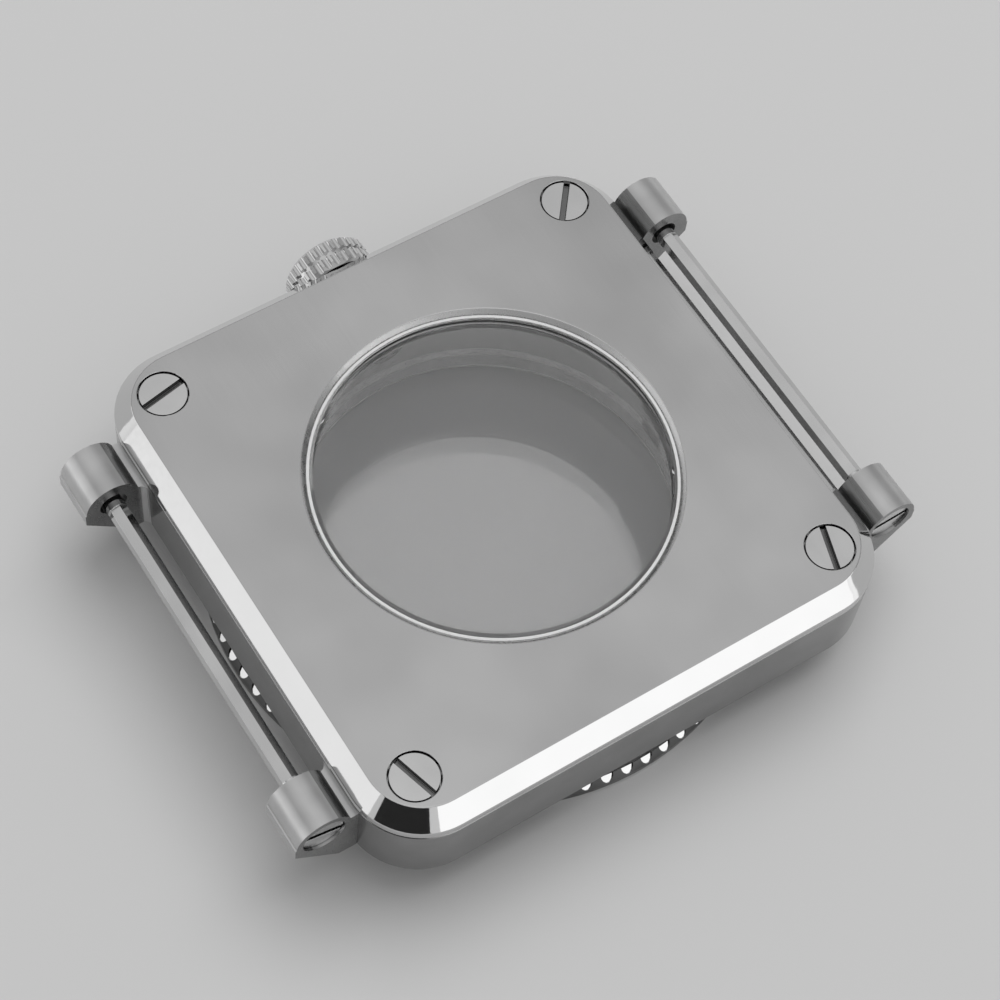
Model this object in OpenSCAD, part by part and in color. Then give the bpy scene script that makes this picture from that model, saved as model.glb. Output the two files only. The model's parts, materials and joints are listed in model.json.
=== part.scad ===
// Square watch case, empty, lying face down with its case back up.
// The origin is the centre of the dial ledge, where the dial of a movement rests.
// X runs from the 6 o'clock strap bar to the 12 o'clock bar, Y towards the crown.

/* [Case] */
// Side of the square case
case_side = 40; // [37:0.5:44]
// Radius of the case corners, seen from the back
corner_r = 5.1; // [4.4:0.1:7]
// Height of the mid-case
mid_h = 5.4; // [5.2:0.1:6.6]
// Edge break round the top and bottom of the mid-case
mid_edge = 0.14; // [0.08:0.02:0.5]
// Thickness of the case back
back_t = 2.1; // [1.8:0.1:2.6]
// Width of the case back's chamfer
back_chamfer_w = 1.2; // [0.8:0.1:1.8]
// Height of the case back's chamfer
back_chamfer_h = 1.5; // [0.8:0.1:1.7]

/* [Back window] */
// Diameter of the window bore that takes the back crystal and its gasket
window_d = 25.2; // [23:0.2:26]
// Chamfer round the window
window_chamfer = 0.34; // [0.1:0.02:0.6]
// Width of the ledge under the back crystal
window_ledge_w = 0.4; // [0.3:0.05:0.8]
// Thickness of the ledge under the back crystal
window_ledge_t = 0.6; // [0.3:0.05:0.7]
// How far the back crystal lies below the case back's face
back_crystal_recess = 0.15; // [0.05:0.05:0.3]
// Width of the ring gasket round the back crystal
back_gasket_w = 0.25; // [0.2:0.05:0.5]
// Bevel on the outer edge of each crystal
crystal_bevel = 0.2; // [0.1:0.02:0.3]

/* [Case back screws] */
// Distance of the screws from the case sides
screw_inset = 3.8; // [3.4:0.1:4.6]
// Diameter of the screw heads
screw_head_d = 3.3; // [2.8:0.05:3.8]
// Height of the screw heads
screw_head_h = 0.9; // [0.6:0.05:1.2]
// Diameter of the screw shanks
screw_shank_d = 1.6; // [1.2:0.1:2]
// Length of the shank inside the mid-case
screw_grip = 2.6; // [1.5:0.1:3.2]
// How far the screw heads lie below the case back's face
screw_recess = 0.08; // [0.04:0.02:0.2]
// Gap round a screw head
screw_gap = 0.1; // [0.05:0.01:0.15]
// Width of the screw slots
slot_w = 0.42; // [0.3:0.02:0.6]
// Depth of the screw slots
slot_depth = 0.4; // [0.2:0.05:0.5]

/* [Movement space] */
// Diameter of the bore for the movement
movement_bore_d = 27.4; // [26:0.1:28.4]
// Depth of the bore, from the case back seat to the dial ledge
movement_depth = 5.2; // [5:0.1:5.7]
// Width of the dial ledge
dial_ledge_w = 0.25; // [0.2:0.05:0.6]
// Width of the dial key notch in the bore wall
key_notch_w = 2.1; // [1.5:0.1:4]
// Height of the dial key notch
key_notch_h = 1; // [0.5:0.1:1.5]
// Depth of the dial key notch
key_notch_depth = 0.35; // [0.2:0.05:0.5]
// Wall between the bore and the case back gasket's groove
groove_wall = 1.1; // [0.8:0.1:1.6]
// Thickness of the case back gasket
back_seal_d = 0.8; // [0.6:0.05:1]

/* [Front crystal] */
// Width of the seat under the front crystal
crystal_seat_w = 0.9; // [0.6:0.1:1.2]
// Thickness of the front crystal
front_crystal_t = 1.9; // [1.5:0.1:2.1]
// Thickness of the seal between the front crystal and its seat
front_seal_t = 0.2; // [0.15:0.05:0.4]
// Width of the ring gasket round the front crystal
front_gasket_w = 0.4; // [0.3:0.05:0.6]
// How far the front crystal lies behind the bezel's face
crystal_setback = 0.3; // [0.2:0.05:0.5]
// Wall of the neck that carries the bezel
neck_wall = 1.6; // [1.3:0.1:2]
// How far the neck's rim lies behind the bezel's face
neck_setback = 0.5; // [0.4:0.05:0.7]

/* [Bezel] */
// How far the bezel lies inside the case sides
bezel_inset = 0.05; // [0.05:0.05:0.5]
// Height of the bezel
bezel_h = 3.5; // [3.3:0.1:4]
// Number of notches round the bezel
bezel_notches = 80; // [60:1:100]
// Angle of the first notch
notch_start = 1.4; // [0:0.1:4]
// How far the bezel widens under its plain rim
flare_w = 0.38; // [0.3:0.02:0.46]
// Height over which the bezel widens
flare_h = 0.65; // [0.55:0.05:0.8]
// Depth of a notch under the rim, from the bezel's widest part
notch_depth = 0.6; // [0.55:0.05:0.75]
// Depth that a notch still has at its lower end
notch_end_depth = 0.05; // [0.03:0.01:0.08]
// Half the width of a notch
notch_r = 0.48; // [0.4:0.02:0.5]
// Height of the bezel's widest part
bezel_land_h = 0.4; // [0.2:0.05:0.5]
// Chamfer on the bezel's front edge
bezel_chamfer = 0.6; // [0.4:0.1:0.8]
// Gap under the mid-case in which the bezel turns
bezel_lift = 0.1; // [0.05:0.01:0.15]
// Width of the bezel's spring wire
wire_w = 0.6; // [0.5:0.05:0.8]
// Height of the bezel's spring wire
wire_h = 0.4; // [0.3:0.05:0.6]
// Height of the spring wire above the bezel's face
wire_z = 1.9; // [1.6:0.1:2.2]
// Gap between the ends of the spring wire
wire_end_gap = 2; // [1:0.1:4]

/* [Crown] */
// Height of the stem axis above the underside of the mid-case
stem_h = 3; // [2.6:0.1:3.2]
// Diameter of the crown
crown_d = 6.4; // [5.6:0.1:7]
// Length of the crown
crown_l = 2.3; // [2.1:0.1:3]
// Gap between the crown and the case
crown_gap = 0.25; // [0.1:0.05:0.4]
// Thickness of the crown's end wall
crown_cap = 0.5; // [0.4:0.05:0.7]
// Number of flutes on the crown
crown_flutes = 28; // [20:1:34]
// Radius of a flute
flute_r = 0.26; // [0.15:0.01:0.3]
// Edge chamfer of the crown
crown_edge = 0.35; // [0.2:0.05:0.5]
// Width of the groove round the crown
crown_groove_w = 0.3; // [0.2:0.05:0.5]
// How far the crown tube ends outside the movement bore
tube_setback = 0.3; // [0.2:0.1:1.1]
// Outer diameter of the crown tube
tube_d = 2.5; // [2.3:0.05:2.6]
// Bore of the crown tube
tube_bore_d = 1.6; // [1.4:0.05:1.7]
// Diameter of the post inside the crown
post_d = 1.2; // [1:0.05:1.3]
// Bore in the post, where a stem screws in
post_bore_d = 0.8; // [0.6:0.05:0.9]
// Thickness of the crown's gasket
crown_seal_d = 0.5; // [0.4:0.05:0.6]

/* [Lugs and strap bars] */
// Width between the lugs
strap_w = 24; // [22:0.5:26]
// Radius of the fillet between a lug and the case side
lug_fillet_r = 0.6; // [0.3:0.1:1]
// Length of a lug along the bar
lug_l = 3.7; // [3.4:0.1:4.6]
// Diameter of the lug barrels
barrel_d = 4; // [3.6:0.1:4.4]
// Distance of the bar axis from the case side
bar_reach = 2.4; // [2.3:0.1:3]
// Distance of the bar axis below the case back seat
bar_drop = 1.05; // [0.9:0.05:1.5]
// Distance of the lug's outer flat from the bar axis
lug_flat = 2.1; // [2:0.05:2.3]
// Depth of the lug's outer flat below the bar axis
lug_flat_h = 1.1; // [0.6:0.1:1.4]
// Depth of the lug's ledge below the case back seat
ledge_drop = 0.45; // [0.3:0.05:0.7]
// Diameter of a strap bar across its corners
bar_d = 1.4; // [1.2:0.05:1.6]
// Turn of the bars' flats from level
bar_turn = 20; // [0:1:59]
// Length of the round end that shows beside a lug
bar_round_l = 0.6; // [0.4:0.1:1.5]
// Diameter of the relief at the mouth of a lug's hole
lug_mouth_d = 2; // [1.8:0.1:2.6]
// Depth of that relief
lug_mouth_depth = 0.6; // [0.3:0.1:1]
// Diameter of the bar screw heads
bar_screw_head_d = 3; // [2.6:0.1:3.2]
// Height of the bar screw heads
bar_screw_head_h = 0.9; // [0.6:0.05:1.2]
// How far the bar screws lie inside the lugs
bar_screw_recess = 0.2; // [0.1:0.05:0.6]
// Diameter of the bar screw shanks
bar_screw_shank_d = 0.9; // [0.8:0.05:1]
// Length of the bar screw shanks
bar_screw_shank_l = 2.2; // [1.5:0.1:3]

/* [Fits] */
// Running gap of turning and sliding pieces
run_gap = 0.05; // [0.03:0.01:0.08]
// Gap between pieces that stay put
seat_gap = 0.02; // [0.01:0.01:0.03]

/* [Hidden] */
$fn = 96;
notch_sides = 7;
flute_fn = 16;
seal_fn = 32;
overcut = 1;

back_screw_turns = [11, 51, 72, 106];
bar_screw_turns = [35, -18, -20, 4];

half = case_side / 2;
seam_z = movement_depth;
back_z = seam_z + back_t;
mid_z = seam_z - mid_h;
bezel_top_z = mid_z - bezel_lift;
front_z = bezel_top_z - bezel_h;

screw_at = half - screw_inset;
head_z = back_z - screw_recess - screw_head_h;

window_r = window_d / 2;
window_ledge_z = seam_z + window_ledge_t;
back_crystal_z = window_ledge_z + seat_gap;
back_crystal_top = back_z - back_crystal_recess;
back_crystal_r = window_r - back_gasket_w;
back_gasket_h = back_crystal_top - back_crystal_z - crystal_bevel;

bore_r = movement_bore_d / 2;
opening_r = bore_r - dial_ledge_w;
seal_groove_w = back_seal_d + 2 * seat_gap;
seal_mid_r = bore_r + groove_wall + seal_groove_w / 2;
seal_groove_z = seam_z - back_seal_d - seat_gap;

crystal_r = opening_r + crystal_seat_w;
crystal_z = front_z + crystal_setback;
crystal_top = crystal_z + front_crystal_t;
crystal_seat_z = crystal_top + front_seal_t + seat_gap;
crystal_bore_r = crystal_r + front_gasket_w + seat_gap;
neck_r = crystal_bore_r + neck_wall;
neck_z = front_z + neck_setback;
wire_bottom = front_z + wire_z;

bezel_r = half - bezel_inset;
bezel_bore_r = neck_r + run_gap;
flare_bottom = bezel_chamfer + bezel_land_h;
flare_top = flare_bottom + flare_h;
notch_angle = atan((notch_depth - notch_end_depth) / flare_h);
notch_l = flare_h / cos(notch_angle);

stem_z = mid_z + stem_h;
crown_y = half + crown_gap;
crown_end_y = crown_y + crown_l;
crown_cavity_y = crown_end_y - crown_cap;
tube_r = tube_d / 2;
tube_end_y = crown_cavity_y - run_gap;
tube_start_y = bore_r + tube_setback;
crown_seal_mid_r = tube_r + run_gap + crown_seal_d / 2;
crown_cavity_r = crown_seal_mid_r + crown_seal_d / 2 + seat_gap;
crown_seal_y = crown_y + crown_seal_d / 2 + run_gap;
crown_groove_y = crown_y + crown_l / 2;

bar_x = half + bar_reach;
bar_z = seam_z - bar_drop;
lug_y = strap_w / 2;
lug_end_y = lug_y + lug_l;
barrel_r = barrel_d / 2;
lug_flat_x = bar_x + lug_flat;
lug_flat_z = bar_z - lug_flat_h;
lug_foot_x = lug_flat_x - (lug_flat_z - mid_z);
bar_r = bar_d / 2;
head_seat_y = lug_end_y - bar_screw_recess - bar_screw_head_h;
bar_end_y = head_seat_y - run_gap;
hex_end_y = lug_y - bar_round_l;

// Lays a shape made along Z on its side, so that its top points to +Y
module along_y() {
    rotate([-90, 0, 0]) children();
}

module ring(outer_r, inner_r, h) {
    difference() {
        cylinder(r = outer_r, h = h);
        translate([0, 0, -overcut]) cylinder(r = inner_r, h = h + 2 * overcut);
    }
}

// Disc with a 45 degree chamfer round its bottom and its top
module disc(r, h, edge) {
    rotate_extrude() polygon([[0, 0], [r - edge, 0], [r, edge], [r, h - edge], [r - edge, h], [0, h]]);
}

module seal_ring(mid_r, thickness) {
    rotate_extrude() translate([mid_r, 0]) circle(d = thickness, $fn = seal_fn);
}

// Square block with round corners. The profile gives [inset, z] up one side, from bottom to top.
module square_block(profile) {
    flat = half - corner_r;
    last = len(profile) - 1;
    corner_side = [for (p = profile) [corner_r - p[0], p[1]]];
    right_side = [for (p = profile) [half - p[0], p[1]]];
    left_side = [for (i = [last : -1 : 0]) [profile[i][0] - half, profile[i][1]]];
    for (x = [-1, 1], y = [-1, 1])
        translate([x * flat, y * flat, 0])
            rotate_extrude()
                polygon(concat([[0, profile[0][1]]], corner_side, [[0, profile[last][1]]]));
    for (turn = [0, 90])
        rotate([90, 0, turn])
            translate([0, 0, -flat])
                linear_extrude(2 * flat)
                    polygon(concat(right_side, left_side));
}

module slotted_screw(head_d, head_h, shank_d, shank_l) {
    difference() {
        union() {
            cylinder(d = head_d, h = head_h);
            translate([0, 0, -shank_l]) cylinder(d = shank_d, h = shank_l + head_h - slot_depth);
        }
        translate([-head_d, -slot_w / 2, head_h - slot_depth]) cube([2 * head_d, slot_w, head_h]);
    }
}

// Mid-case

module mid_outline() {
    square_block([[mid_edge, mid_z], [0, mid_z + mid_edge], [0, seam_z - mid_edge], [mid_edge, seam_z]]);
    for (x = [-1, 1], y = [-1, 1])
        scale([x, y, 1]) lug();
    translate([0, 0, neck_z]) cylinder(r = neck_r, h = mid_z + mid_edge - neck_z);
}

module lug() {
    translate([bar_x, lug_y, bar_z])
        along_y() intersection() {
            cylinder(r = barrel_r, h = lug_l);
            translate([-barrel_d, -barrel_d, 0]) cube([barrel_d + lug_flat, 2 * barrel_d, lug_l]);
        }
    translate([0, lug_end_y, 0])
        rotate([90, 0, 0])
            linear_extrude(lug_l)
                polygon([
                    [half - corner_r, seam_z - ledge_drop],
                    [bar_x, seam_z - ledge_drop],
                    [lug_flat_x, bar_z],
                    [lug_flat_x, lug_flat_z],
                    [lug_foot_x, mid_z],
                    [half - corner_r, mid_z]
                ]);
    translate([half, lug_y, mid_z + mid_edge]) lug_fillet(seam_z - mid_z - mid_edge - ledge_drop);
}

// Fillet in the corner between the case side and a lug's inner end
module lug_fillet(h) {
    difference() {
        translate([-overcut, -lug_fillet_r, 0]) cube([overcut + lug_fillet_r, lug_fillet_r + overcut, h]);
        translate([lug_fillet_r, -lug_fillet_r, -overcut]) cylinder(r = lug_fillet_r, h = h + 2 * overcut);
    }
}

module lug_hole() {
    translate([bar_x, 0, bar_z]) along_y() {
        cylinder(r = bar_r + run_gap, h = lug_end_y);
        cylinder(d = lug_mouth_d, h = lug_y + lug_mouth_depth);
        translate([0, 0, head_seat_y - run_gap])
            cylinder(d = bar_screw_head_d + 2 * run_gap, h = lug_l);
    }
}

module mid_case() {
    color("silver") difference() {
        mid_outline();
        cylinder(r = bore_r, h = seam_z + overcut);
        translate([0, 0, front_z]) cylinder(r = opening_r, h = seam_z - front_z);
        translate([0, 0, front_z]) cylinder(r = crystal_bore_r, h = crystal_seat_z - front_z);
        translate([0, -key_notch_w / 2, 0])
            cube([bore_r + key_notch_depth, key_notch_w, key_notch_h]);
        translate([0, 0, seal_groove_z])
            ring(seal_mid_r + seal_groove_w / 2, seal_mid_r - seal_groove_w / 2, mid_h);
        translate([0, 0, wire_bottom - seat_gap])
            ring(neck_r + overcut, neck_r - wire_w / 2 - seat_gap, wire_h + 2 * seat_gap);
        translate([0, 0, stem_z]) along_y() cylinder(r = tube_r, h = half + overcut);
        for (x = [-1, 1], y = [-1, 1]) {
            translate([x * screw_at, y * screw_at, seam_z - screw_grip - seat_gap])
                cylinder(d = screw_shank_d + 2 * seat_gap, h = mid_h);
            scale([x, y, 1]) lug_hole();
        }
    }
}

module crown_tube() {
    color("gainsboro") translate([0, tube_start_y, stem_z]) along_y()
        ring(tube_r, tube_bore_d / 2, tube_end_y - tube_start_y);
}

module case_back_gasket() {
    color("dimgray") translate([0, 0, seam_z - seat_gap - back_seal_d / 2])
        seal_ring(seal_mid_r, back_seal_d - 2 * seat_gap);
}

// Front: crystal, bezel and what holds them

module front_crystal() {
    color("lightcyan") translate([0, 0, crystal_z])
        disc(crystal_r, front_crystal_t, crystal_bevel);
}

module front_crystal_gasket() {
    color("whitesmoke") {
        translate([0, 0, neck_z])
            ring(crystal_r + front_gasket_w, crystal_r + seat_gap, crystal_seat_z - seat_gap - neck_z);
        translate([0, 0, crystal_top + seat_gap])
            ring(crystal_r + front_gasket_w, opening_r + seat_gap, front_seal_t - seat_gap);
    }
}

module bezel_spring_wire() {
    color("darkgray") translate([0, 0, wire_bottom]) difference() {
        ring(neck_r + wire_w / 2, neck_r - wire_w / 2, wire_h);
        translate([-neck_r - wire_w, -wire_end_gap / 2, -overcut])
            cube([2 * wire_w, wire_end_gap, wire_h + 2 * overcut]);
    }
}

// Flat-floored notch, cut square to its sloping floor. Its outline is half an ellipse of straight sides.
module bezel_notch() {
    turns = [for (i = [0 : notch_sides]) 180 * i / notch_sides - 90];
    translate([bezel_r - notch_depth, 0, flare_top])
        rotate([0, 90 - notch_angle, 0])
            linear_extrude(notch_depth)
                polygon([for (a = turns) [notch_l * cos(a), notch_r * sin(a)]]);
}

// The notches are cut before the plain rim is added above them
module bezel() {
    rim_r = bezel_r - flare_w;
    color("silver") translate([0, 0, front_z]) difference() {
        union() {
            difference() {
                rotate_extrude() polygon([
                    [bezel_bore_r, 0],
                    [bezel_r - bezel_chamfer, 0],
                    [bezel_r, bezel_chamfer],
                    [bezel_r, flare_bottom],
                    [rim_r, flare_top],
                    [bezel_bore_r, flare_top]
                ]);
                for (i = [0 : bezel_notches - 1])
                    rotate([0, 0, notch_start + i * 360 / bezel_notches]) bezel_notch();
            }
            translate([0, 0, flare_top]) ring(rim_r, bezel_bore_r, bezel_h - flare_top);
        }
        translate([0, 0, wire_z - run_gap])
            cylinder(r = neck_r + wire_w / 2 + run_gap, h = wire_h + 2 * run_gap);
    }
}

// Case back with its crystal and screws

module case_back() {
    color("silver") difference() {
        square_block([[0, seam_z], [0, back_z - back_chamfer_h], [back_chamfer_w, back_z]]);
        translate([0, 0, seam_z - overcut])
            cylinder(r = window_r - window_ledge_w, h = back_t + 2 * overcut);
        translate([0, 0, window_ledge_z]) cylinder(r = window_r, h = back_t);
        translate([0, 0, back_z - window_chamfer])
            cylinder(r1 = window_r, r2 = window_r + 2 * window_chamfer, h = 2 * window_chamfer);
        for (x = [-1, 1], y = [-1, 1])
            translate([x * screw_at, y * screw_at, 0]) {
                translate([0, 0, head_z - seat_gap])
                    cylinder(d = screw_head_d + 2 * screw_gap, h = screw_head_h + overcut);
                translate([0, 0, seam_z - overcut])
                    cylinder(d = screw_shank_d + 2 * run_gap, h = back_t + 2 * overcut);
            }
    }
}

module back_crystal() {
    color("lightcyan") translate([0, 0, back_crystal_z])
        disc(back_crystal_r, back_crystal_top - back_crystal_z, crystal_bevel);
}

module back_crystal_gasket() {
    color("whitesmoke") translate([0, 0, back_crystal_z])
        ring(window_r - seat_gap, back_crystal_r + seat_gap, back_gasket_h);
}

module case_back_screw(x, y, turn) {
    color("gainsboro") translate([x * screw_at, y * screw_at, head_z])
        rotate([0, 0, turn])
            slotted_screw(screw_head_d, screw_head_h, screw_shank_d, head_z - seam_z + screw_grip);
}

// Crown

module crown() {
    crown_r = crown_d / 2;
    color("silver") translate([0, 0, stem_z]) difference() {
        union() {
            difference() {
                translate([0, crown_y, 0]) along_y() disc(crown_r, crown_l, crown_edge);
                translate([0, crown_y - overcut, 0]) along_y()
                    cylinder(r = crown_cavity_r, h = crown_cavity_y - crown_y + overcut);
                translate([0, crown_groove_y - crown_groove_w / 2, 0]) along_y()
                    ring(crown_r + overcut, crown_r - flute_r, crown_groove_w);
                for (i = [0 : crown_flutes - 1])
                    rotate([0, i * 360 / crown_flutes, 0])
                        translate([crown_r, crown_y - overcut, 0]) along_y()
                            cylinder(r = flute_r, h = crown_l + 2 * overcut, $fn = flute_fn);
            }
            translate([0, crown_y + crown_gap, 0]) along_y()
                cylinder(d = post_d, h = crown_end_y - crown_y - crown_gap - crown_edge);
        }
        translate([0, crown_y - overcut, 0]) along_y()
            cylinder(d = post_bore_d, h = crown_cavity_y - crown_y + overcut);
    }
}

module crown_gasket() {
    color("dimgray") translate([0, crown_seal_y, stem_z]) along_y()
        seal_ring(crown_seal_mid_r, crown_seal_d);
}

// Strap bars, screwed at both ends

module strap_bar(side) {
    color("silver") translate([side * bar_x, 0, bar_z]) difference() {
        along_y() {
            translate([0, 0, -bar_end_y]) cylinder(r = bar_r, h = bar_end_y - hex_end_y);
            translate([0, 0, hex_end_y]) cylinder(r = bar_r, h = bar_end_y - hex_end_y);
            translate([0, 0, -hex_end_y])
                rotate([0, 0, -bar_turn]) cylinder(r = bar_r, h = 2 * hex_end_y, $fn = 6);
            translate([0, 0, -bar_end_y]) cylinder(d = bar_screw_shank_d, h = 2 * bar_end_y);
        }
        for (end = [-1, 1])
            scale([1, end, 1]) translate([0, bar_end_y - bar_screw_shank_l - run_gap, 0]) along_y()
                cylinder(d = bar_screw_shank_d + 2 * seat_gap, h = bar_screw_shank_l + overcut);
    }
}

module bar_screw(side, end, turn) {
    color("gainsboro") translate([side * bar_x, end * head_seat_y, bar_z])
        rotate([-90 * end, 0, 0])
            rotate([0, 0, turn])
                slotted_screw(bar_screw_head_d, bar_screw_head_h, bar_screw_shank_d, bar_screw_shank_l);
}

mid_case();
crown_tube();
case_back_gasket();
front_crystal();
front_crystal_gasket();
bezel_spring_wire();
bezel();
case_back();
back_crystal();
back_crystal_gasket();
case_back_screw(-1, 1, back_screw_turns[0]);  // case_back_screw_1
case_back_screw(1, 1, back_screw_turns[1]);  // case_back_screw_2
case_back_screw(1, -1, back_screw_turns[2]);  // case_back_screw_3
case_back_screw(-1, -1, back_screw_turns[3]);  // case_back_screw_4
crown();
crown_gasket();
strap_bar(-1);  // strap_bar_6
strap_bar(1);  // strap_bar_12
bar_screw(-1, 1, bar_screw_turns[0]);  // bar_screw_1
bar_screw(-1, -1, bar_screw_turns[1]);  // bar_screw_2
bar_screw(1, 1, bar_screw_turns[2]);  // bar_screw_3
bar_screw(1, -1, bar_screw_turns[3]);  // bar_screw_4
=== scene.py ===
"""Empty square watch case, lying face down: finishes, camera and light."""
import json
import math

import bmesh
import bpy
from mathutils import Matrix, Vector


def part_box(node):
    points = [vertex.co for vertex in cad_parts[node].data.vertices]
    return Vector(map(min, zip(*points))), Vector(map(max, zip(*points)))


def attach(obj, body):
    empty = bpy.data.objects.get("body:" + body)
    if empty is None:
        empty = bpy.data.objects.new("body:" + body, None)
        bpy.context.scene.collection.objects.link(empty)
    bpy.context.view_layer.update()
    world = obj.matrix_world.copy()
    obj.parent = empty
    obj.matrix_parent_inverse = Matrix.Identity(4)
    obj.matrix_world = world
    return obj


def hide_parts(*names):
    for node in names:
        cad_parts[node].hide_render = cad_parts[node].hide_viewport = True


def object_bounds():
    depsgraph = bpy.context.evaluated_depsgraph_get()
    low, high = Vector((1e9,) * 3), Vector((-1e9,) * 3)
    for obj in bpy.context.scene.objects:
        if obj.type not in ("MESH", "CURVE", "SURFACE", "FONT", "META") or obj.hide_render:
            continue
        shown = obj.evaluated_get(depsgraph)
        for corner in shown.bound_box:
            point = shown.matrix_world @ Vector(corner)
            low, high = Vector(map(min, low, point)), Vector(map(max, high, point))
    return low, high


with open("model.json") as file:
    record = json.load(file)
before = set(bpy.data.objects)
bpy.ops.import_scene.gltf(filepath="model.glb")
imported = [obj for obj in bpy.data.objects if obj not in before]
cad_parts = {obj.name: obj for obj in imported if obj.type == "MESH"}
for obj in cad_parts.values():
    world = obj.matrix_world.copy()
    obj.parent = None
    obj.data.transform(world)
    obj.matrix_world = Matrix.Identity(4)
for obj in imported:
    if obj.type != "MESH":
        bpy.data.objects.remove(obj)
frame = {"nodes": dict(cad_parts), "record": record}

MM = 0.001
CAD_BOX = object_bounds()

# Camera: angles in degrees, the azimuth from +X towards +Y; lens and sensor in millimetres
CAMERA_TARGET = Vector((-0.94, -2.15, 7.3)) * MM
CAMERA_DISTANCE = 172.7 * MM
CAMERA_AZIMUTH = -129.8
CAMERA_ELEVATION = 60.3
CAMERA_ROLL = 8.45
CAMERA_LENS = 93.59
CAMERA_SENSOR = 36
CAMERA_NEAR = 5 * MM

# Floor, with its size in metres, black cards and room; a level is a grey from 0 to 1
FLOOR_SIZE = 6
FLOOR_LEVEL = 0.6
FLOOR_ROUGHNESS = 0.9
CARD_LEVEL = 0.01
# Brightness of the room by height: (sine of the elevation, level), from the horizon to the zenith
WORLD_LEVELS = ((0, 0.7), (0.2, 0.7), (0.3, 0.42), (0.68, 0.42), (0.82, 0.68), (0.93, 0.74), (1, 0.95))

# Noise values that stand for the low and the high end of what a noise drives
NOISE_LOW = 0.3
NOISE_HIGH = 0.7
# Glass: its grey, which is painted shade darkening what is seen through it, its index of refraction, its
# highest roughness and the patches of that
GLASS_PAINTED_SHADE_LEVEL = 0.85
GLASS_IOR = 1.5
GLASS_HAZE = 0.02
HAZE_GRAIN = (0.2, 0.2, 0.2)
# Rubber: its grain, in grains per millimetre, and the depth of that in millimetres
RUBBER_GRAIN = (6, 6, 6)
RUBBER_DEPTH = 0.01

# Edge rounds of the case back and of the other rounded pieces, in millimetres, and their steps
BACK_ROUND = 0.06
FINE_ROUND = 0.04
ROUND_STEPS = 2
# Edges sharper than the first angle are rounded or kept sharp, and flatter than the second dissolved
SHARP_ANGLE = math.radians(25)
FLAT_ANGLE = math.radians(0.2)
# Points closer than this are one
MERGE_DISTANCE = MM / 10000

# Numbers in the pieces' names
SCREWS = range(1, 5)
BAR_SIDES = (6, 12)

# Sizes of the pieces, in millimetres
CASE_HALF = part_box("case_back")[1].x / MM
BEZEL_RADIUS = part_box("bezel")[1].x / MM
WINDOW_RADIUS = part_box("back_crystal")[1].x / MM
BACK_SCREW_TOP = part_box("case_back_screw_1")[1].z / MM
BAR_SCREW_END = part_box("bar_screw_1")[1].y / MM

# Where one finish ends and the next starts, in millimetres
BAND_START = BEZEL_RADIUS - 0.45
BORE_END = BEZEL_RADIUS - 1
WINDOW_CHAMFER_END = WINDOW_RADIUS + 1
LUG_START = CASE_HALF + 0.01
# How far below a screw's end its slot and its sides get painted shade, a darker steel
SLOT_SHADE = 0.08

# Limits of a face's normal along one axis, 1 for a face that looks straight along it
FLAT_TOP = 0.99
CHAMFER_SLOPE = 0.3
BAND_SLOPE = 0.6
BORE_SLOPE = 0.5
LUG_END_TURN = 0.9
LUG_INWARD_TURN = 0.55


# Node helpers

def grey(level):
    return (level, level, level, 1)


def set_inputs(node, values):
    for name, value in values.items():
        node.inputs[name].default_value = value


def add_node(tree, kind, values):
    """A shader node with its unlinked inputs set by name."""
    node = tree.nodes.new(kind)
    set_inputs(node, values)
    return node


def new_material(name):
    material = bpy.data.materials.new(name)
    material.use_nodes = True
    tree = material.node_tree
    return material, tree, tree.nodes["Principled BSDF"]


def noise(tree, scale, detail=3):
    """Noise with scale = (x, y, z) grains per millimetre."""
    coordinates = tree.nodes.new("ShaderNodeTexCoord")
    mapping = add_node(tree, "ShaderNodeMapping", {"Scale": [grains / MM for grains in scale]})
    texture = add_node(tree, "ShaderNodeTexNoise", {"Scale": 1, "Detail": detail})
    tree.links.new(coordinates.outputs["Object"], mapping.inputs["Vector"])
    tree.links.new(mapping.outputs["Vector"], texture.inputs["Vector"])
    return texture.outputs["Fac"]


def spread(tree, value, low, high):
    """A noise value, stretched to run from low to high."""
    limits = {"From Min": NOISE_LOW, "From Max": NOISE_HIGH, "To Min": low, "To Max": high}
    node = add_node(tree, "ShaderNodeMapRange", limits)
    tree.links.new(value, node.inputs["Value"])
    return node.outputs["Result"]


def tint(tree, value, dark, light):
    """A noise value as a grey that runs from dark to light."""
    node = tree.nodes.new("ShaderNodeValToRGB")
    for stop, position, level in zip(node.color_ramp.elements, (NOISE_LOW, NOISE_HIGH), (dark, light)):
        stop.position = position
        stop.color = grey(level)
    tree.links.new(value, node.inputs["Fac"])
    return node.outputs["Color"]


def bump(tree, height, depth_mm, strength):
    node = add_node(tree, "ShaderNodeBump", {"Strength": strength, "Distance": depth_mm * MM})
    tree.links.new(height, node.inputs["Height"])
    return node.outputs["Normal"]


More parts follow.
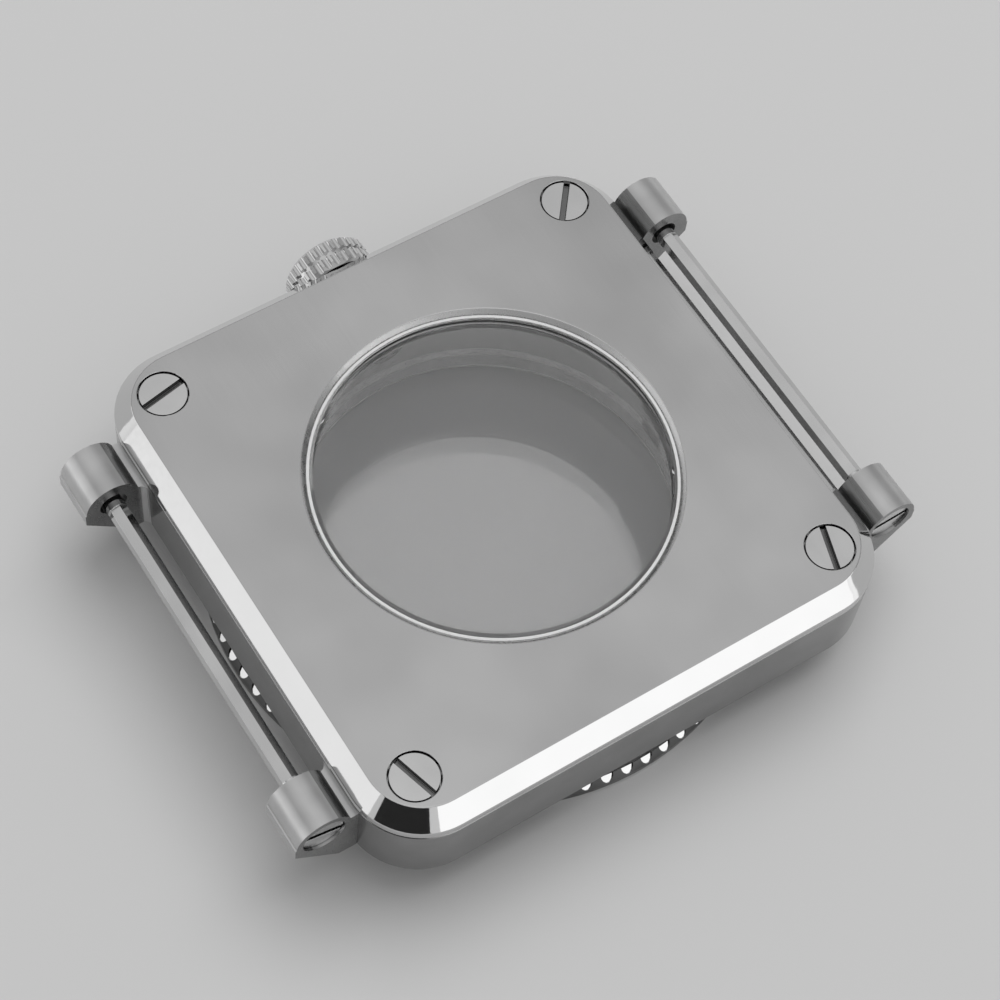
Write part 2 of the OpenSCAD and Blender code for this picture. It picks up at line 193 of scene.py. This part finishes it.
def steel(name, rough, grain, depth, tone=(0.58, 0.66), cloud=0.25, turned=0):
    """Steel with fine lines and soft clouds.

    rough and tone are (lowest, highest). grain = (x, y, z) and cloud are lines and clouds per
    millimetre, and depth is the lines' depth in millimetres. turned is the anisotropy of lathe
    lines round the case axis.
    """
    material, tree, shader = new_material(name)
    shader.inputs["Metallic"].default_value = 1
    if turned:
        shader.inputs["Anisotropic"].default_value = turned
        tangent = tree.nodes.new("ShaderNodeTangent")
        tangent.direction_type = "RADIAL"
        tangent.axis = "Z"
        tree.links.new(tangent.outputs["Tangent"], shader.inputs["Tangent"])
    lines = noise(tree, grain, detail=4)
    clouds = noise(tree, (cloud, cloud, cloud), detail=2)
    tree.links.new(tint(tree, clouds, *tone), shader.inputs["Base Color"])
    tree.links.new(spread(tree, lines, *rough), shader.inputs["Roughness"])
    tree.links.new(bump(tree, lines, depth, strength=1), shader.inputs["Normal"])
    return material


def glass(name):
    """Clear glass greyed as painted shade on what is seen through it, with a slight, uneven haze."""
    material, tree, shader = new_material(name)
    # The grey base is painted shade on what lies behind the glass
    set_inputs(shader, {"Base Color": grey(GLASS_PAINTED_SHADE_LEVEL), "Transmission Weight": 1, "IOR": GLASS_IOR})
    haze = noise(tree, HAZE_GRAIN)
    tree.links.new(spread(tree, haze, 0, GLASS_HAZE), shader.inputs["Roughness"])
    return material


def rubber(name, tone, rough):
    """Rubber or plastic with a fine grain; tone and rough are (lowest, highest)."""
    material, tree, shader = new_material(name)
    grain = noise(tree, RUBBER_GRAIN)
    tree.links.new(tint(tree, grain, *tone), shader.inputs["Base Color"])
    tree.links.new(spread(tree, grain, *rough), shader.inputs["Roughness"])
    tree.links.new(bump(tree, grain, RUBBER_DEPTH, strength=0.5), shader.inputs["Normal"])
    return material


# Finishes

SATIN_FACE = steel("satin_face", rough=(0.2, 0.27), grain=(9, 0.25, 9), depth=0.0006,
                   tone=(0.47, 0.59), cloud=0.09)
SATIN_RING = steel("satin_ring", rough=(0.24, 0.32), grain=(2, 2, 2), depth=0.0003, tone=(0.58, 0.64))
# Painted shade: the sides' tone is set darker than the face's and the lugs', for the shaded floor they
# reflect
SATIN_SIDE_PAINTED_SHADE = steel("satin_side_painted_shade", rough=(0.14, 0.24), grain=(0.4, 0.4, 14), depth=0.001,
                   tone=(0.25, 0.31), cloud=0.3)
SATIN_LUG = steel("satin_lug", rough=(0.28, 0.36), grain=(12, 0.4, 12), depth=0.0006,
                  tone=(0.5, 0.6), cloud=0.4)
# Painted shade: a darker copy of the lug steel, for the lug ends and the barrels' faces that look at the
# case
LUG_PAINTED_SHADE = steel("lug_painted_shade", rough=(0.25, 0.33), grain=(12, 0.4, 12), depth=0.0006,
                  tone=(0.24, 0.32), cloud=0.4)
POLISHED = steel("polished", rough=(0.03, 0.07), grain=(2, 2, 2), depth=0.0001, tone=(0.64, 0.66))
# Painted shade: the bezel's teeth and rim are toned near black, for the shaded floor they reflect
BEZEL_BAND_PAINTED_SHADE = steel("bezel_band_painted_shade", rough=(0.15, 0.25), grain=(2, 2, 14), depth=0.0006, tone=(0.13, 0.18))
TURNED = steel("turned", rough=(0.22, 0.26), grain=(0.2, 0.2, 4), depth=0.00002,
               tone=(0.6, 0.7), turned=0.9)
BAR_STEEL = steel("bar_steel", rough=(0.08, 0.16), grain=(8, 0.3, 8), depth=0.0005)
SCREW_STEEL = steel("screw_steel", rough=(0.18, 0.26), grain=(9, 0.4, 9), depth=0.0005, tone=(0.6, 0.68))
# Painted shade: darker steel for screw slots and the heads' sides, where shade falls
SLOT_PAINTED_SHADE_STEEL = steel("slot_painted_shade", rough=(0.2, 0.3), grain=(6, 6, 6), depth=0.0005, tone=(0.14, 0.22))
SPRING_STEEL = steel("spring_steel", rough=(0.2, 0.3), grain=(4, 4, 4), depth=0.0005, tone=(0.4, 0.46))
CRYSTAL = glass("crystal")
CRYSTAL_GASKET = rubber("crystal_gasket", tone=(0.68, 0.74), rough=(0.35, 0.5))
SEAL_RUBBER = rubber("seal_rubber", tone=(0.02, 0.035), rough=(0.45, 0.6))


# Pieces

def add_object(name, data):
    made = bpy.data.objects.new(name, data)
    bpy.context.scene.collection.objects.link(made)
    return made


def body_of(node):
    """The body that a CAD node rides on."""
    for body, members in frame["record"]["behaviour"]["bodies"].items():
        if node in members:
            return body


def round_edges(piece, width):
    edges = piece.modifiers.new("edges", "BEVEL")
    edges.width = width
    edges.segments = ROUND_STEPS
    edges.limit_method = "ANGLE"
    edges.angle_limit = SHARP_ANGLE
    edges.harden_normals = True


def refined(node, round_mm, finishes, choose):
    """Copy of a CAD node with rounded edges, or sharp ones for 0, which stands for it.

    choose(centre in mm, normal) gives the index in finishes of each face's finish.
    """
    mesh = bpy.data.meshes.new(node + "_refined")
    bm = bmesh.new()
    bm.from_mesh(frame["nodes"][node].data)
    bmesh.ops.remove_doubles(bm, verts=bm.verts, dist=MERGE_DISTANCE)
    bmesh.ops.dissolve_limit(bm, angle_limit=FLAT_ANGLE, verts=bm.verts, edges=bm.edges)
    for face in bm.faces:
        face.smooth = True
        face.material_index = choose(face.calc_center_median() / MM, face.normal)
    for edge in bm.edges:
        edge.smooth = edge.is_manifold and edge.calc_face_angle() < SHARP_ANGLE
    bm.to_mesh(mesh)
    bm.free()
    for finish in finishes:
        mesh.materials.append(finish)
    piece = add_object(node + "_refined", mesh)
    if round_mm:
        round_edges(piece, round_mm * MM)
    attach(piece, body_of(node))
    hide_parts(node)


def finish_node(node, finish):
    mesh = frame["nodes"][node].data
    mesh.materials.clear()
    mesh.materials.append(finish)


def axis_distance(point):
    return math.hypot(point.x, point.y)


def one_finish(centre, normal):
    """0 the whole piece."""
    return 0


def bezel_finish(centre, normal):
    """0 notches and faces, 1 the teeth between the notches and the rim above them, darkened as painted
    shade.
    """
    return 1 if axis_distance(centre) > BAND_START and abs(normal.z) < BAND_SLOPE else 0


def case_back_finish(centre, normal):
    """0 flat face, 1 outer chamfer and holes, 2 chamfer round the window."""
    if normal.z > FLAT_TOP:
        return 0
    return 2 if normal.z > CHAMFER_SLOPE and axis_distance(centre) < WINDOW_CHAMFER_END else 1


def mid_case_finish(centre, normal):
    """0 sides, toned dark as painted shade, 1 lugs, 2 turned surfaces, 3 lug ends and lug faces that
    look at the case, darkened as painted shade.
    """
    if axis_distance(centre) < BORE_END and abs(normal.z) < BORE_SLOPE:
        return 2
    if abs(centre.x) > LUG_START:
        inward = -normal.x * math.copysign(1, centre.x)
        # Lug ends and faces that look at the case get painted shade, the darker copy of the lug steel
        looks_at_case = inward > LUG_INWARD_TURN and normal.z > 0
        return 3 if looks_at_case or abs(normal.y) > LUG_END_TURN else 1
    return 0


def back_screw_finish(centre, normal):
    """0 top of the head, 1 its slot and sides, darkened as painted shade."""
    return 1 if centre.z < BACK_SCREW_TOP - SLOT_SHADE else 0


def bar_screw_finish(centre, normal):
    """0 end of the head, 1 its slot and sides, darkened as painted shade."""
    return 1 if abs(centre.y) < BAR_SCREW_END - SLOT_SHADE else 0


refined("case_back", BACK_ROUND, [SATIN_FACE, POLISHED, SATIN_RING], case_back_finish)
refined("mid_case", 0, [SATIN_SIDE_PAINTED_SHADE, SATIN_LUG, TURNED, LUG_PAINTED_SHADE], mid_case_finish)
refined("bezel", FINE_ROUND, [POLISHED, BEZEL_BAND_PAINTED_SHADE], bezel_finish)
refined("crown", FINE_ROUND, [POLISHED], one_finish)
for number in SCREWS:
    refined(f"case_back_screw_{number}", FINE_ROUND, [SCREW_STEEL, SLOT_PAINTED_SHADE_STEEL], back_screw_finish)
    refined(f"bar_screw_{number}", FINE_ROUND, [SCREW_STEEL, SLOT_PAINTED_SHADE_STEEL], bar_screw_finish)
for side in BAR_SIDES:
    refined(f"strap_bar_{side}", FINE_ROUND, [BAR_STEEL], one_finish)

finish_node("crown_tube", POLISHED)
finish_node("bezel_spring_wire", SPRING_STEEL)
finish_node("case_back_gasket", SEAL_RUBBER)
finish_node("crown_gasket", SEAL_RUBBER)
for end in ("front", "back"):
    finish_node(f"{end}_crystal", CRYSTAL)
    finish_node(f"{end}_crystal_gasket", CRYSTAL_GASKET)


# Stage

def add_rectangle(name, width, length, height=0):
    """Flat object round the Z axis with a material of its own, and that material's shader."""
    mesh = bpy.data.meshes.new(name)
    x, y = width / 2, length / 2
    corners = [(-x, -y, height), (x, -y, height), (x, y, height), (-x, y, height)]
    mesh.from_pydata(corners, [], [(0, 1, 2, 3)])
    material, _, shader = new_material(name)
    mesh.materials.append(material)
    return add_object(name, mesh), shader


def add_floor():
    floor, shader = add_rectangle("floor", FLOOR_SIZE, FLOOR_SIZE, CAD_BOX[0].z)
    set_inputs(shader, {"Base Color": grey(FLOOR_LEVEL), "Roughness": FLOOR_ROUGHNESS})
    # No gloss, so that the foot of a reflected soft box draws no line on it
    set_inputs(shader, {"Specular IOR Level": 0})


def direction(azimuth, elevation):
    """Unit vector from the case; angles in degrees, the azimuth from +X towards +Y."""
    turn, lift = math.radians(azimuth), math.radians(elevation)
    return Vector((math.cos(turn) * math.cos(lift), math.sin(turn) * math.cos(lift), math.sin(lift)))


def face_case(thing, azimuth, elevation, distance):
    """Puts thing at a distance in metres from the case, with its -Z axis towards it."""
    thing.location = direction(azimuth, elevation) * distance
    thing.rotation_euler = (-thing.location).to_track_quat("-Z", "Y").to_euler()


def add_panel(name, azimuth, elevation, distance, width, height, level, mirrored=True):
    """Soft box that only glossy surfaces see, or if not mirrored, one that lights dull ones only.

    level is what a mirror would show of it, on top of the room.
    """
    light = bpy.data.lights.new(name, "AREA")
    light.shape = "RECTANGLE"
    light.size = width
    light.size_y = height
    light.energy = level * math.pi * width * height
    panel = add_object(name, light)
    panel.visible_camera = False
    panel.visible_glossy = mirrored
    panel.visible_diffuse = not mirrored
    panel.visible_transmission = not mirrored
    face_case(panel, azimuth, elevation, distance)


def add_card(name, azimuth, elevation, distance, width, height):
    """Black card that only reflections see."""
    card, shader = add_rectangle(name, width, height)
    shader.inputs["Base Color"].default_value = grey(CARD_LEVEL)
    face_case(card, azimuth, elevation, distance)
    card.visible_camera = False
    card.visible_diffuse = False
    card.visible_shadow = False
    card.visible_transmission = False


def set_world():
    """Room whose light depends on height: pale low down, darker walls and a bright ceiling."""
    world = bpy.data.worlds.new("studio")
    world.use_nodes = True
    tree = world.node_tree
    coordinates = tree.nodes.new("ShaderNodeTexCoord")
    split = tree.nodes.new("ShaderNodeSeparateXYZ")
    ramp = tree.nodes.new("ShaderNodeValToRGB")
    stops = ramp.color_ramp.elements
    # A new ramp has its first and last stop, at 0 and 1
    for height, _ in WORLD_LEVELS[1:-1]:
        stops.new(height)
    for stop, (_, level) in zip(stops, WORLD_LEVELS):
        stop.color = grey(level)
    tree.links.new(coordinates.outputs["Generated"], split.inputs["Vector"])
    tree.links.new(split.outputs["Z"], ramp.inputs["Fac"])
    tree.links.new(ramp.outputs["Color"], tree.nodes["Background"].inputs["Color"])
    bpy.context.scene.world = world


def add_camera():
    camera = bpy.data.cameras.new("camera")
    camera.sensor_width = CAMERA_SENSOR
    camera.lens = CAMERA_LENS
    camera.clip_start = CAMERA_NEAR
    holder = add_object("camera", camera)
    back = direction(CAMERA_AZIMUTH, CAMERA_ELEVATION)
    right = Vector((0, 0, 1)).cross(back).normalized()
    place = Matrix.Translation(CAMERA_TARGET + back * CAMERA_DISTANCE)
    upright = Matrix((right, back.cross(right), back)).transposed().to_4x4()
    roll = Matrix.Rotation(math.radians(CAMERA_ROLL), 4, "Z")
    holder.matrix_world = place @ upright @ roll
    bpy.context.scene.camera = holder


add_floor()
set_world()
add_panel("key", azimuth=30, elevation=68, distance=1.2, width=1, height=1, level=2.2, mirrored=False)
add_panel("low_front", azimuth=-75, elevation=15, distance=0.2, width=0.29, height=0.12, level=0.76)
add_panel("low_left", azimuth=158, elevation=15, distance=0.16, width=0.19, height=0.1, level=0.46)
add_card("dark_corner", azimuth=226, elevation=12, distance=0.4, width=0.52, height=0.17)
add_card("dark_right", azimuth=-16, elevation=4, distance=0.5, width=0.3, height=0.12)
add_camera()
bpy.context.scene.view_settings.view_transform = "Standard"
